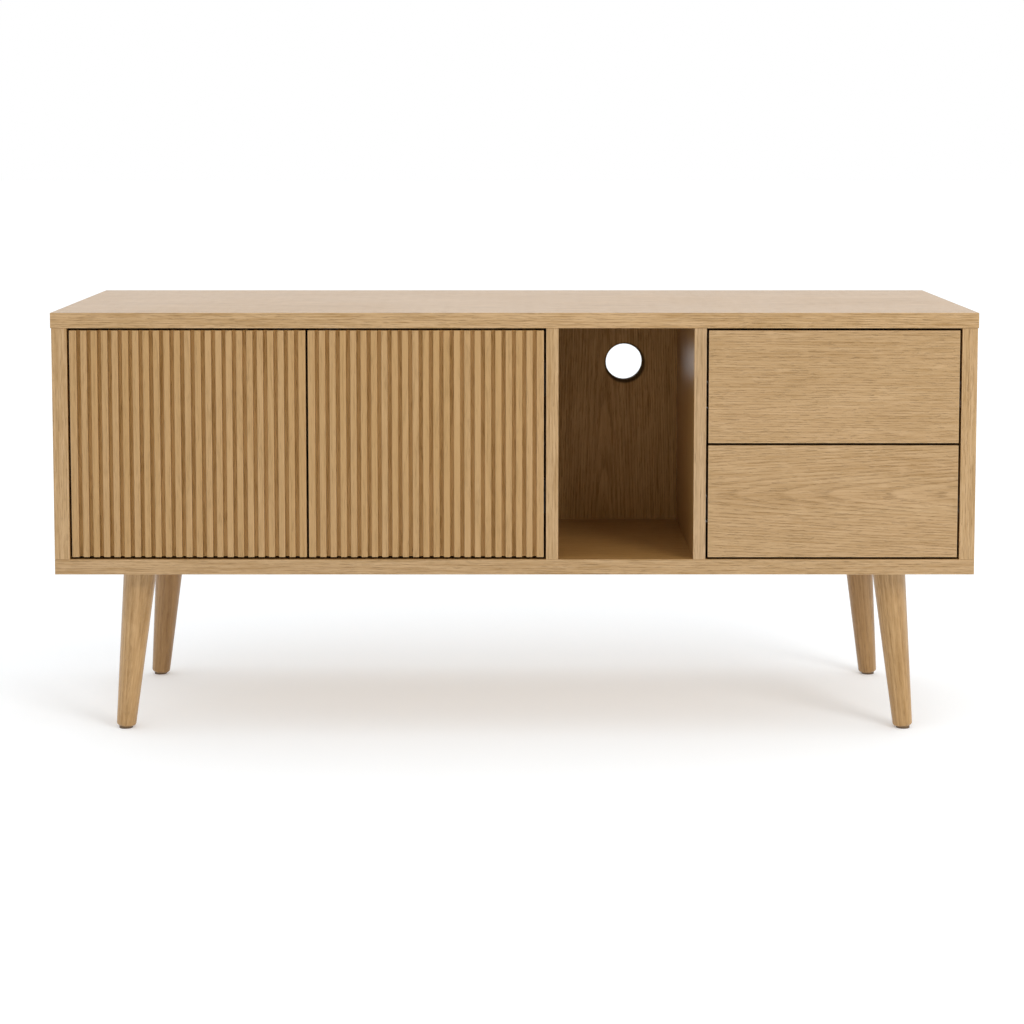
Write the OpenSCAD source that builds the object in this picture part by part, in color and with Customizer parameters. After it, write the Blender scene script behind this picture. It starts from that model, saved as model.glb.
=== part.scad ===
// Low media cabinet: two slatted doors, an open niche and two drawers on four splayed legs.
// Millimetres. +Z is up, the front faces -Y, and the origin is on the floor under the middle.

/* [Cabinet] */
// Width over the side panels
cabinet_w = 1200; // [1000:10:1600]
// Depth over the side panels
cabinet_d = 400; // [340:5:520]
// Height of the body, from the underside of the bottom panel to the top face
body_h = 343; // [300:1:460]
// Height of the underside of the body above the floor
leg_h = 217; // [120:1:260]
// Thickness of the top, bottom and side panels
panel_t = 20; // [16:1:26]
// How far the top panel stands out past the sides, front and back
top_reveal = 1; // [0:0.5:6]
// Thickness of the two dividers
divider_t = 16; // [16:1:22]
// Clear width of the open niche
niche_w = 176; // [120:1:300]
// Clear width of the drawer bay
drawer_bay_w = 331; // [260:1:440]

/* [Back] */
// Thickness of the back panel
back_t = 16; // [12:1:20]
// Depth of the cable space behind the back panel
back_recess = 80; // [20:1:100]
// Radius of the cable hole
cable_hole_r = 26; // [15:0.5:40]
// Distance of the hole's centre from the middle of the niche
cable_hole_shift = 12; // [-20:1:20]
// Distance of the hole's centre below the underside of the top
cable_hole_drop = 75.5; // [50:0.5:120]

/* [Doors and drawer fronts] */
// Gap round each door and drawer front
front_gap = 3; // [2:0.1:4]
// Thickness of the doors' backing panels
backing_t = 12; // [12:0.5:16]
// Thickness of the slats
slat_t = 7; // [4:0.5:8]
// Number of slats on a door
slat_count = 23; // [9:2:31]
// Width of the grooves between the slats
groove_w = 5.2; // [3:0.1:8]
// Extra width of the two outer slats
edge_slat_extra = 1.1; // [0:0.1:3]
// Thickness of the drawer fronts
drawer_front_t = 19; // [16:1:22]

/* [Shelf] */
// Thickness of the adjustable shelf
shelf_t = 16; // [12:1:20]
// How far the shelf's front edge is set back from the front of the cabinet
shelf_setback = 50; // [40:1:120]
// Height of the shelf's underside above the bottom panel
shelf_z = 143; // [110:1:180]
// Gap at each end of the shelf and behind it
shelf_gap = 1; // [0.5:0.5:3]
// Spacing of the pin holes
pin_pitch = 32; // [25:1:40]
// Radius of the shelf pins
pin_r = 2.5; // [2:0.5:3]

/* [Drawer boxes] */
// Room behind a drawer box for its latch
latch_room = 35; // [30:1:60]
// Thickness of the drawer sides and backs
box_t = 12; // [10:1:15]
// Thickness of the drawer bottoms
box_bottom_t = 6; // [4:1:8]
// Height of the box above the lower edge of its front
box_lift = 16; // [10:1:24]
// Distance of the box's upper edge below the top of its front
box_drop = 21.75; // [12:0.25:40]
// Height of a drawer bottom above the lower edge of the sides
bottom_lift = 10; // [8:1:16]
// Depth of the groove that holds a drawer bottom
bottom_groove = 5; // [3:1:7]

/* [Drawer slides] */
// Side clearance that a slide fills
slide_t = 12.7; // [12.7:0.1:14]
// Height of a slide
slide_h = 35; // [32:1:46]
// Height of a slide's middle above the lower edge of its box
slide_lift = 45; // [36:1:60]
// Sheet thickness of the rails
rail_t = 1.2; // [1:0.1:1.4]
// Ball track between one rail and the next
track = 2; // [1.6:0.1:2.4]

/* [Hinges] */
// Height of the hinges' centres from the ends of a door
hinge_inset = 70; // [50:1:90]
// Radius of the hinge cups
cup_r = 17.5; // [13:0.5:17.5]
// Depth of the hinge cups
cup_depth = 11; // [9:0.5:11]
// Wood between a cup and the edge of its door
cup_edge = 4; // [3:0.5:6]
// Width of a hinge arm
arm_w = 11; // [9:1:14]
// Thickness of a hinge arm
arm_t = 5; // [4:0.5:6]

/* [Push latches] */
// Radius of a plunger's rod
plunger_r = 3.5; // [3:0.5:4]
// Length of a door latch
door_latch_l = 60; // [40:1:80]
// Width of a latch
latch_w = 20; // [16:1:26]
// Height of a latch
latch_h = 18; // [16:1:22]
// Distance of a door latch from the line where the doors meet
latch_offset = 30; // [20:1:60]

/* [Legs] */
// Radius of a leg at its top
leg_top_r = 22; // [16:0.5:26]
// Radius of a leg at its foot
leg_foot_r = 13; // [12:0.5:16]
// Distance of a leg's top centre from the ends of the cabinet
leg_inset_x = 102; // [60:1:160]
// Distance of a leg's top centre from the front and from the back
leg_inset_y = 60; // [50:1:90]
// How far a foot stands out sideways from the leg's top
splay_x = 21; // [0:1:30]
// How far a foot stands out to the front or back from the leg's top
splay_y = 8; // [0:1:20]
// Width of a leg plate
leg_plate_w = 70; // [60:1:90]
// Thickness of a leg plate
leg_plate_t = 2.5; // [2:0.5:3]
// Thickness of the floor glides
glide_h = 3; // [2:0.5:5]

/* [Fittings] */
// Clearance between a fastener and its hole
fit = 0.05; // [0.02:0.01:0.1]
// Air between parts that move past each other
air = 0.3; // [0.3:0.05:0.6]
// Radius of a cam disc
cam_r = 7.5; // [6:0.5:7.5]
// Thickness of a cam disc
cam_t = 12; // [10:0.5:12.5]
// Distance of a cam's centre from the end of its panel
cam_inset = 34; // [24:1:34]
// Radius of a cam bolt
cam_bolt_r = 3.5; // [3:0.5:3.5]
// Radius of a wood dowel
dowel_r = 4; // [3:0.5:4]
// Length of a wood dowel
dowel_l = 30; // [25:1:35]
// Radius of the wood screws
screw_r = 2; // [1.5:0.25:2]

/* [Hidden] */
$fn = 48;

// Heights of the body
floor_z = leg_h + panel_t;          // top of the bottom panel
ceil_z = leg_h + body_h - panel_t;  // underside of the top panel
opening_h = ceil_z - floor_z;

// Front and back
front_y = -cabinet_d / 2;
rear_y = cabinet_d / 2;
back_y = rear_y - back_recess - back_t;  // front face of the back panel

// Bay edges, from left to right
door_bay_w = cabinet_w - 2 * panel_t - 2 * divider_t - niche_w - drawer_bay_w;
door_x0 = -cabinet_w / 2 + panel_t;
door_x1 = door_x0 + door_bay_w;
niche_x0 = door_x1 + divider_t;
niche_x1 = niche_x0 + niche_w;
drawer_x0 = niche_x1 + divider_t;
drawer_x1 = drawer_x0 + drawer_bay_w;

// Uprights: middle of the thickness, thickness, side that the cams face, rear edge
UPRIGHTS = [
  [door_x0 - panel_t / 2, panel_t, 1, rear_y],
  [door_x1 + divider_t / 2, divider_t, -1, back_y],
  [drawer_x0 - divider_t / 2, divider_t, 1, back_y],
  [drawer_x1 + panel_t / 2, panel_t, -1, rear_y]
];
cam_edge = 40;                      // cam centre from the front or rear edge
dowel_step = 32;                    // dowel from the cam beside it
bolt_bite = 11;                     // cam bolt in the top or bottom panel
dowel_bite = 10;                    // dowel in the panel with the blind face
function cam_ys(u) = [front_y + cam_edge, u[3] - cam_edge];
function dowel_ys(u) = [front_y + cam_edge + dowel_step, u[3] - cam_edge - dowel_step];

// Back panel fastenings
back_mid_y = back_y + back_t / 2;
back_dowel_zs = [floor_z + 60, ceil_z - 60];
back_screw_zs = [floor_z + 50, (floor_z + ceil_z) / 2, ceil_z - 50];
back_screw_l = back_t + 24;
cable_x = (niche_x0 + niche_x1) / 2 + cable_hole_shift;
cable_z = ceil_z - cable_hole_drop;

// Doors
door_w = (door_bay_w - 3 * front_gap) / 2;
door_h = opening_h - 2 * front_gap;
door_z = floor_z + front_gap;
door_t = backing_t + slat_t;
slat_w = (door_w - 2 * edge_slat_extra - (slat_count - 1) * groove_w) / slat_count;
DOOR_X = [door_x0 + front_gap, door_x1 - front_gap - door_w];
hinge_zs = [door_z + hinge_inset, door_z + door_h - hinge_inset];

// Hinge, measured from the wall of the bay and the front of the cabinet
cup_x = front_gap + cup_edge + cup_r;
cup_wall = 1.2;
cup_flange_r = cup_r + 1.5;
cup_floor = door_t - cup_depth + cup_wall;
ear_x = cup_x + 6;
ear_z = 24;
ear_r = 6;
arm_x = cup_x - arm_t / 2 + 1;      // arm's face towards the wall, inside the cup
arm_tip = cup_floor + 1.3;
arm_bend = door_t + 18;             // where the arm turns towards the wall
arm_run = 22;                       // length of the slanted part
arm_end = arm_bend + arm_run + 36;
plate_h = 8;                        // height of the mounting plate under the arm
plate_y = arm_bend + arm_run;
wing_t = 2.5;
wing_w = 46;
wing_l = 16;
wing_y = plate_y + 12;
wing_hole = wing_w / 2 - 7;         // screws from the plate's middle

// Shelf
shelf_y0 = front_y + shelf_setback;
shelf_y1 = back_y - shelf_gap;
shelf_bottom = floor_z + shelf_z;
pin_ys = [shelf_y0 + 40, shelf_y1 - 40];
pin_depth = 9;                      // pin in the panel
pin_out = 8;                        // pin under the shelf
pin_z = shelf_bottom - pin_r;

// Push latches
head_r = plunger_r + 1;
head_l = 3;
strike_r = 7;
strike_t = 1.2;
plate_ear = 12;                     // latch plate past the housing
latch_plate_t = 3;
door_mid_x = (door_x0 + door_x1) / 2;
DOOR_LATCH_X = [door_mid_x - latch_offset, door_mid_x + latch_offset];
door_latch_z = ceil_z - 11;
door_back_y = front_y + door_t;
door_head_y = door_back_y + strike_t + air;
box_l = back_y - front_y - drawer_front_t - latch_room;
box_back_y = front_y + drawer_front_t + box_l;
box_head_y = box_back_y + air;
head_gap = 0.5;                     // between a plunger's head and the housing
drawer_mid_x = (drawer_x0 + drawer_x1) / 2;
box_latch_l = back_y - box_head_y - head_l - head_gap;
bore_end = 3;                       // wall behind a plunger's bore

// Drawers
drawer_h = (opening_h - 3 * front_gap) / 2;
DRAWER_Z = [door_z, door_z + drawer_h + front_gap];
box_w = drawer_bay_w - 2 * slide_t;
box_h = drawer_h - box_lift - box_drop;
box_x0 = drawer_x0 + slide_t;
box_x1 = drawer_x1 - slide_t;
box_y0 = front_y + drawer_front_t;
front_dowel_bite = drawer_front_t - 4;
front_dowel_zs = [25, box_h - 25];
corner_screw_zs = [for (end = [-1, 1]) slide_lift + end * (slide_h / 2 + 5.5)];
corner_screw_l = 30;

// Slide rails, measured from the wall of the bay
middle_x = rail_t + 2.2;
inner_x = slide_t - rail_t;
middle_h = slide_h - 2 * rail_t - 2 * track;
inner_h = middle_h - 2 * rail_t - 2 * track;
rail_reach = slide_t - 3.7;         // flange of the cabinet rail
middle_reach = slide_t - 2.3;       // edge of the middle rail's flange
inner_reach = middle_x + 2.8;       // edge of the drawer rail's flange
slide_screw_ys = [37, box_l - 45];
box_screw_step = 16;                // drawer rail's screws from the cabinet rail's
rail_head_h = 1.4;

// Legs
leg_x = cabinet_w / 2 - leg_inset_x;
leg_y = cabinet_d / 2 - leg_inset_y;
leg_l = sqrt(leg_h * leg_h + splay_x * splay_x + splay_y * splay_y);
leg_round = 4;
leg_bolt_r = 4;
leg_bolt_up = 9;
leg_bolt_down = 40;
plate_recess_r = 12;
plate_recess = 12;
plate_hole = leg_plate_w / 2 - 8;   // screws from the plate's middle
glide_r = 9;
glide_pin_r = 1.5;
glide_pin_l = 14;
CORNERS = [for (sx = [-1, 1], sy = [-1, 1]) [sx, sy]];

// Colours
oak = [0.77, 0.64, 0.49];
oak_dark = [0.60, 0.47, 0.33];
beech = [0.82, 0.70, 0.54];
steel = [0.70, 0.71, 0.73];
zinc = [0.60, 0.61, 0.63];
grey_plastic = [0.55, 0.56, 0.58];
dark_plastic = [0.15, 0.15, 0.16];

// --- shared shapes ---

module block(lo, hi) {
  translate(lo) cube(hi - lo);
}

// A rod from z0 to z1
module rod(r, z0, z1) {
  translate([0, 0, z0]) cylinder(r = r, h = z1 - z0);
}

// Turns +Z to a direction along one axis
module aim(axis) {
  rotate(axis == "+x" ? [0, 90, 0] : axis == "-x" ? [0, -90, 0] : axis == "+y" ? [-90, 0, 0]
    : axis == "-y" ? [90, 0, 0] : axis == "-z" ? [180, 0, 0] : [0, 0, 0]) children();
}

// A screw whose head sits at z < 0 and whose shank runs up
module screw(l, r = screw_r, head_h = 2) {
  cross = 0.8;
  difference() {
    union() {
      rod(r, 0, l);
      rod(2 * r, -head_h, 0);
    }
    block([-1.3 * r, -cross / 2, -head_h - 1], [1.3 * r, cross / 2, -head_h / 2]);
    block([-cross / 2, -1.3 * r, -head_h - 1], [cross / 2, 1.3 * r, -head_h / 2]);
  }
}

// The hole for that screw
module screw_hole(l, r = screw_r) {
  rod(r + fit, -1, l + fit);
}

// --- carcass ---

module cam_place(u, y, end) {
  z = end > 0 ? ceil_z - cam_inset : floor_z + cam_inset;
  translate([u[0] + u[2] * u[1] / 2, y, z]) children();
}

module cam_disc(u, end) {
  difference() {
    aim(u[2] > 0 ? "-x" : "+x") rod(cam_r, 0, cam_t);
    translate([-u[2] * u[1] / 2, 0, 0]) aim(end > 0 ? "+z" : "-z") rod(cam_bolt_r + 4 * fit, 0, cam_r + 1);
  }
}

module cam_bolt(u, end) {
  translate([-u[2] * u[1] / 2, 0, 0]) aim(end > 0 ? "+z" : "-z") rod(cam_bolt_r, 1, cam_inset + bolt_bite);
}

module cam_cuts(u) {
  for (y = cam_ys(u), end = [-1, 1]) cam_place(u, y, end) {
    aim(u[2] > 0 ? "-x" : "+x") rod(cam_r + fit, -1, cam_t + fit);
    translate([-u[2] * u[1] / 2, 0, 0]) aim(end > 0 ? "+z" : "-z")
      rod(cam_bolt_r + fit, 0, cam_inset + bolt_bite + fit);
  }
}

// Dowels between an upright and the top or bottom panel
module upright_dowels(u, grow) {
  for (y = dowel_ys(u)) translate([u[0], y, 0]) {
    rod(dowel_r + grow, ceil_z + dowel_bite - dowel_l - grow, ceil_z + dowel_bite + grow);
    rod(dowel_r + grow, floor_z - dowel_bite - grow, floor_z - dowel_bite + dowel_l + grow);
  }
}

// Dowels between the back panel's ends and the side panels
module back_dowels(grow) {
  for (side = [-1, 1], z = back_dowel_zs)
    translate([side * (cabinet_w / 2 - panel_t + dowel_bite), back_mid_y, z])
      aim(side > 0 ? "-x" : "+x") rod(dowel_r + grow, -grow, dowel_l + grow);
}

module back_screw_places() {
  for (u = [UPRIGHTS[1], UPRIGHTS[2]], z = back_screw_zs)
    translate([u[0], back_y + back_t, z]) aim("-y") children();
}

module shelf_pin_places(row) {
  for (side = [0, 1], y = pin_ys)
    translate([side == 0 ? door_x0 : door_x1, y, pin_z + row * pin_pitch]) aim(side == 0 ? "-x" : "+x") children();
}

// Screws of one hinge plate, from inside the bay into its wall
module plate_screw_places(side) {
  at_hinges(side) for (end = [-1, 1])
    translate([wing_t, wing_y, end * wing_hole]) aim("-x") children();
}

module top_panel() {
  color(oak) difference() {
    block([-cabinet_w / 2 - top_reveal, front_y - top_reveal, ceil_z],
      [cabinet_w / 2 + top_reveal, rear_y + top_reveal, ceil_z + panel_t]);
    for (u = UPRIGHTS) {
      cam_cuts(u);
      upright_dowels(u, fit);
    }
    door_latch_screw_places() screw_hole(latch_plate_t + 10);
  }
}

module bottom_panel() {
  color(oak) difference() {
    block([-cabinet_w / 2, front_y, leg_h], [cabinet_w / 2, rear_y, floor_z]);
    for (u = UPRIGHTS) {
      cam_cuts(u);
      upright_dowels(u, fit);
    }
    for (leg = CORNERS) {
      at_leg_top(leg) rod(plate_recess_r, -1, plate_recess);
      leg_screw_places(leg) screw_hole(leg_plate_t + 12);
    }
  }
}

// An upright panel with the cuts that every upright shares
module upright(i, depth) {
  u = UPRIGHTS[i];
  difference() {
    block([u[0] - u[1] / 2, front_y, floor_z], [u[0] + u[1] / 2, depth, ceil_z]);
    cam_cuts(u);
    upright_dowels(u, fit);
    if (i < 2) {
      for (row = [-1, 0, 1]) shelf_pin_places(row) rod(pin_r + fit, -1, pin_depth + fit);
      plate_screw_places(i) screw_hole(wing_t + 10);
    }
    if (i > 1) for (k = [0, 1]) rail_screw_places(k) screw_hole(rail_t + 11);
  }
}

module side_panel_left() {
  color(oak) difference() {
    upright(0, rear_y);
    back_dowels(fit);
  }
}

module side_panel_right() {
  color(oak) difference() {
    upright(3, rear_y);
    back_dowels(fit);
  }
}

module divider_left() {
  color(oak) difference() {
    upright(1, back_y);
    back_screw_places() screw_hole(back_screw_l);
  }
}

module divider_right() {
  color(oak) difference() {
    upright(2, back_y);
    back_screw_places() screw_hole(back_screw_l);
  }
}

module back_panel() {
  color(oak_dark) difference() {
    block([door_x0, back_y, floor_z], [drawer_x1, back_y + back_t, ceil_z]);
    translate([cable_x, back_y - 1, cable_z]) aim("+y") rod(cable_hole_r, 0, back_t + 2);
    back_dowels(fit);
    back_screw_places() screw_hole(back_screw_l);
    for (k = [0, 1]) box_latch_screw_places(k) screw_hole(latch_plate_t + 9);
  }
}

module cam_discs() {
  color(zinc) for (u = UPRIGHTS, y = cam_ys(u), end = [-1, 1]) cam_place(u, y, end) cam_disc(u, end);
}

module cam_bolts() {
  color(steel) for (u = UPRIGHTS, y = cam_ys(u), end = [-1, 1]) cam_place(u, y, end) cam_bolt(u, end);
}

module wood_dowels() {
  color(beech) {
    for (u = UPRIGHTS) upright_dowels(u, 0);
    back_dowels(0);
  }
}

module back_screws() {
  color(zinc) back_screw_places() screw(back_screw_l);
}

module shelf() {
  color(oak) block([door_x0 + shelf_gap, shelf_y0, shelf_bottom],
    [door_x1 - shelf_gap, shelf_y1, shelf_bottom + shelf_t]);
}

module shelf_pins() {
  color(steel) shelf_pin_places(0) rod(pin_r, -pin_out, pin_depth);
}

// --- legs ---

module at_leg_top(leg) {
  translate([leg[0] * leg_x, leg[1] * leg_y, leg_h]) children();
}

// Puts -Z along the leg's axis, with the origin at the leg's top
module along_leg(leg) {
  at_leg_top(leg) rotate([asin(leg[1] * splay_y / leg_l), atan(-leg[0] * splay_x / leg_h), 0]) children();
}

module at_foot(leg) {
  translate([leg[0] * (leg_x + splay_x), leg[1] * (leg_y + splay_y), 0]) children();
}

module leg_screw_places(leg) {
  at_leg_top(leg) for (c = CORNERS) translate([c[0] * plate_hole, c[1] * plate_hole, -leg_plate_t]) children();
}

// A tapered round leg with a rounded foot, cut level at the plate and at the glide
module leg(leg) {
  over = 12;
  slope = (leg_top_r - leg_foot_r) / leg_l;
  color(oak) difference() {
    intersection() {
      along_leg(leg) rotate_extrude() polygon(concat(
        [[0, over], [leg_top_r + slope * over, over]],
        [for (a = [0 : 15 : 90])
          [leg_foot_r - leg_round * (1 - cos(a)), glide_h + leg_round * (1 - sin(a)) - leg_l]],
        [[leg_foot_r - leg_round, -leg_l], [0, -leg_l]]));
      at_leg_top(leg) block([-100, -100, glide_h - leg_h], [100, 100, -leg_plate_t]);
    }
    along_leg(leg) rod(leg_bolt_r + fit, -leg_bolt_down - fit, over);
    at_foot(leg) rod(glide_pin_r + fit, 0, glide_h + glide_pin_l + fit);
  }
}

module leg_front_left() { leg([-1, -1]); }
module leg_front_right() { leg([1, -1]); }
module leg_rear_left() { leg([-1, 1]); }
module leg_rear_right() { leg([1, 1]); }

module leg_plates() {
  half = leg_plate_w / 2;
  color(zinc) for (leg = CORNERS) difference() {
    union() {
      at_leg_top(leg) block([-half, -half, -leg_plate_t], [half, half, 0]);
      intersection() {
        along_leg(leg) rod(leg_bolt_r * 2, -leg_plate_t, leg_bolt_up);
        at_leg_top(leg) block([-half, -half, -leg_plate_t / 2], [half, half, leg_bolt_up]);
      }
    }
    along_leg(leg) rod(leg_bolt_r + fit, -20, 20);
    leg_screw_places(leg) rod(screw_r + fit, -1, leg_plate_t + 1);
  }
}

module leg_bolts() {
  color(steel) for (leg = CORNERS) along_leg(leg) rod(leg_bolt_r, -leg_bolt_down, leg_bolt_up);
}

module leg_plate_screws() {
  color(zinc) for (leg = CORNERS) leg_screw_places(leg) screw(leg_plate_t + 12);
}

module foot_glides() {
  color(dark_plastic) for (leg = CORNERS) at_foot(leg) {
    rod(glide_r, 0, glide_h);
    rod(glide_pin_r, glide_h / 2, glide_h + glide_pin_l);
  }
}

// --- hinges ---

// Both hinge places of a door, with +X into the bay from its wall and +Y back from the front
module at_hinges(side) {
  for (z = hinge_zs)
    translate([side == 0 ? door_x0 : door_x1, front_y, z]) mirror([side, 0, 0]) children();
}

module cup_cuts() {
  translate([cup_x, door_t, 0]) aim("-y") rod(cup_r + fit, -1, cup_depth + fit);
  for (end = [-1, 1]) translate([ear_x, door_t, end * ear_z]) aim("-y") screw_hole(9);
}

module hinge_cup() {
  difference() {
    union() {
      translate([cup_x, door_t, 0]) aim("-y") rod(cup_r, 0, cup_depth);
      translate([cup_x, door_t, 0]) aim("+y") rod(cup_flange_r, 0, cup_wall);
      for (end = [-1, 1]) translate([ear_x, door_t, end * ear_z]) aim("+y") rod(ear_r, 0, cup_wall);
      block([ear_x - ear_r, door_t, -ear_z], [ear_x + ear_r, door_t + cup_wall, ear_z]);
    }
    translate([cup_x, door_t, 0]) aim("-y") rod(cup_r - cup_wall, -2 * cup_wall, cup_depth - cup_wall);
    for (end = [-1, 1]) translate([ear_x, door_t, end * ear_z]) aim("-y") rod(screw_r + fit, -9, 9);
  }
}

module cup_screws() {
  for (end = [-1, 1])
    translate([ear_x, door_t + cup_wall, end * ear_z]) aim("-y") screw(cup_wall + 8, head_h = 1.6);
}

// The cranked arm, from its tip inside the cup back to the plate
module hinge_arm() {
  x0 = arm_x;
  x1 = arm_x + arm_t;
  difference() {
    translate([0, 0, -arm_w / 2]) linear_extrude(arm_w) polygon([
      [x0, arm_tip], [x1, arm_tip], [x1, arm_bend], [plate_h + arm_t, arm_bend + arm_run],
      [plate_h + arm_t, arm_end], [plate_h, arm_end], [plate_h, arm_bend + arm_run], [x0, arm_bend - 2]]);
    for (y = [8, 26]) translate([plate_h + arm_t, plate_y + y, 0]) aim("-x") {
      rod(3, -1, 2);
      rod(1, -1, 3);
    }
  }
}

module hinge_plate() {
  difference() {
    union() {
      block([0, plate_y - 1, -arm_w / 2], [plate_h, arm_end, arm_w / 2]);
      block([0, wing_y - wing_l / 2, -wing_w / 2], [wing_t, wing_y + wing_l / 2, wing_w / 2]);
    }
    for (end = [-1, 1]) translate([wing_t, wing_y, end * wing_hole]) aim("-x") rod(screw_r + fit, -9, 9);
  }
}

module hinge_arms() {
  color(steel) for (side = [0, 1]) at_hinges(side) hinge_arm();
}

module hinge_plates() {
  color(zinc) for (side = [0, 1]) at_hinges(side) hinge_plate();
}

module hinge_plate_screws() {
  color(zinc) for (side = [0, 1]) plate_screw_places(side) screw(wing_t + 9, head_h = 1.6);
}

// --- push latches ---

// Latch with its plunger along -Y, its front face at y = 0 and its plate behind or above
module latch_housing(l, plate_up) {
  half = latch_w / 2;
  low = door_latch_z - ceil_z;
  top = -low;
  difference() {
    union() {
      block([-half, 0, top - latch_h], [half, l, top]);
      if (plate_up)
        block([-half - plate_ear, l / 2 - 8, top - latch_plate_t], [half + plate_ear, l / 2 + 8, top]);
      else
        block([-half - plate_ear, l - latch_plate_t, top - latch_h], [half + plate_ear, l, top]);
    }
    aim("+y") rod(plunger_r + fit, -1, l - bore_end);
    for (end = [-1, 1])
      if (plate_up)
        translate([end * (half + plate_ear / 2), l / 2, top]) rod(screw_r + fit, -9, 1);
      else
        translate([end * (half + plate_ear / 2), l, top - latch_h / 2]) aim("+y") rod(screw_r + fit, -9, 1);
  }
}

module plunger(l) {
  aim("+y") {
    rod(head_r, -head_l - head_gap, -head_gap);
    rod(plunger_r, -head_gap - head_l / 2, l - bore_end - 2);
  }
}

module at_door_latch(side) {
  translate([DOOR_LATCH_X[side], door_head_y + head_l + head_gap, door_latch_z]) children();
}

module at_box_latch(k) {
  translate([drawer_mid_x, box_head_y + head_l + head_gap, DRAWER_Z[k] + box_lift + box_h / 2]) children();
}

module door_latch_screw_places() {
  for (side = [0, 1], end = [-1, 1]) at_door_latch(side)
    translate([end * (latch_w / 2 + plate_ear / 2), door_latch_l / 2, ceil_z - door_latch_z - latch_plate_t])
      children();
}

module box_latch_screw_places(k) {
  for (end = [-1, 1]) at_box_latch(k)
    translate([end * (latch_w / 2 + plate_ear / 2), box_latch_l - latch_plate_t,
      ceil_z - door_latch_z - latch_h / 2]) aim("+y") children();
}

module latch_housings() {
  color(grey_plastic) {
    for (side = [0, 1]) at_door_latch(side) latch_housing(door_latch_l, true);
    for (k = [0, 1]) at_box_latch(k) latch_housing(box_latch_l, false);
  }
}

module latch_screws() {
  color(zinc) {
    door_latch_screw_places() screw(latch_plate_t + 9);
    for (k = [0, 1]) box_latch_screw_places(k) screw(latch_plate_t + 8);
  }
}

// --- doors ---

module door_panel(side) {
  color(oak) difference() {
    block([DOOR_X[side], front_y + slat_t, door_z], [DOOR_X[side] + door_w, front_y + door_t, door_z + door_h]);
    at_hinges(side) cup_cuts();
  }
}

module door_slats(side) {
  color(oak) for (i = [0 : slat_count - 1]) {
    x = DOOR_X[side] + edge_slat_extra + i * (slat_w + groove_w);
    block([i == 0 ? DOOR_X[side] : x, front_y, door_z],
      [i == slat_count - 1 ? DOOR_X[side] + door_w : x + slat_w, front_y + slat_t, door_z + door_h]);
  }
}

module door_strike(side) {
  color(steel) translate([DOOR_LATCH_X[side], door_back_y, door_latch_z]) aim("+y") rod(strike_r, 0, strike_t);
}

module door_left_panel() { door_panel(0); }
module door_left_slats() { door_slats(0); }
module door_left_hinge_cups() { color(steel) at_hinges(0) hinge_cup(); }
module door_left_cup_screws() { color(zinc) at_hinges(0) cup_screws(); }
module door_left_strike() { door_strike(0); }
module door_left_plunger() { color(dark_plastic) at_door_latch(0) plunger(door_latch_l); }
module door_right_panel() { door_panel(1); }
module door_right_slats() { door_slats(1); }
module door_right_hinge_cups() { color(steel) at_hinges(1) hinge_cup(); }
module door_right_cup_screws() { color(zinc) at_hinges(1) cup_screws(); }
module door_right_strike() { door_strike(1); }
module door_right_plunger() { color(dark_plastic) at_door_latch(1) plunger(door_latch_l); }

// --- drawers, 0 is the lower and 1 the upper ---

// Origin at the box's front lower left corner
module at_box(k) {
  translate([box_x0, box_y0, DRAWER_Z[k] + box_lift]) children();
}

// Dowels between the sides' front ends and the front
module front_dowels(k, grow) {
  at_box(k) for (x = [box_t / 2, box_w - box_t / 2], z = front_dowel_zs)
    translate([x, 0, z]) aim("+y") rod(dowel_r + grow, -front_dowel_bite - grow, front_dowel_bite + grow);
}

// Screws from outside the sides into the box's back
module corner_screw_places(k, side) {
  at_box(k) for (z = corner_screw_zs)
    translate([side == 0 ? 0 : box_w, box_l - box_t / 2, z]) aim(side == 0 ? "+x" : "-x") children();
}

module drawer_front(k) {
  color(oak) difference() {
    block([drawer_x0 + front_gap, front_y, DRAWER_Z[k]],
      [drawer_x1 - front_gap, front_y + drawer_front_t, DRAWER_Z[k] + drawer_h]);
    front_dowels(k, fit);
  }
}

module drawer_side(k, side) {
  color(beech) difference() {
    at_box(k) translate([side == 0 ? 0 : box_w - box_t, 0, 0]) cube([box_t, box_l, box_h]);
    at_box(k) block([box_t - bottom_groove, -1, bottom_lift],
      [box_w - box_t + bottom_groove, box_l + 1, bottom_lift + box_bottom_t]);
    front_dowels(k, fit);
    corner_screw_places(k, side) screw_hole(corner_screw_l);
    drawer_rail_screw_places(k) screw_hole(rail_t + 9);
  }
}

module drawer_back(k) {
  color(beech) difference() {
    at_box(k) block([box_t, box_l - box_t, bottom_lift + box_bottom_t], [box_w - box_t, box_l, box_h]);
    for (side = [0, 1]) corner_screw_places(k, side) screw_hole(corner_screw_l);
  }
}

module drawer_bottom(k) {
  color(beech) at_box(k) block([box_t - bottom_groove + fit, fit, bottom_lift + fit],
    [box_w - box_t + bottom_groove - fit, box_l, bottom_lift + box_bottom_t - fit]);
}

module drawer_fasteners(k) {
  color(beech) front_dowels(k, 0);
  color(zinc) for (side = [0, 1]) {
    corner_screw_places(k, side) screw(corner_screw_l, head_h = 1);
    drawer_rail_screw_places(k) screw(rail_t + 8, head_h = rail_head_h);
  }
}

// --- drawer slides ---

// Both slides of a drawer, with +X from the wall of the bay to the box
module at_slides(k) {
  for (side = [0, 1])
    translate([side == 0 ? drawer_x0 : drawer_x1, box_y0, DRAWER_Z[k] + box_lift + slide_lift])
      mirror([side, 0, 0]) children();
}

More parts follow.
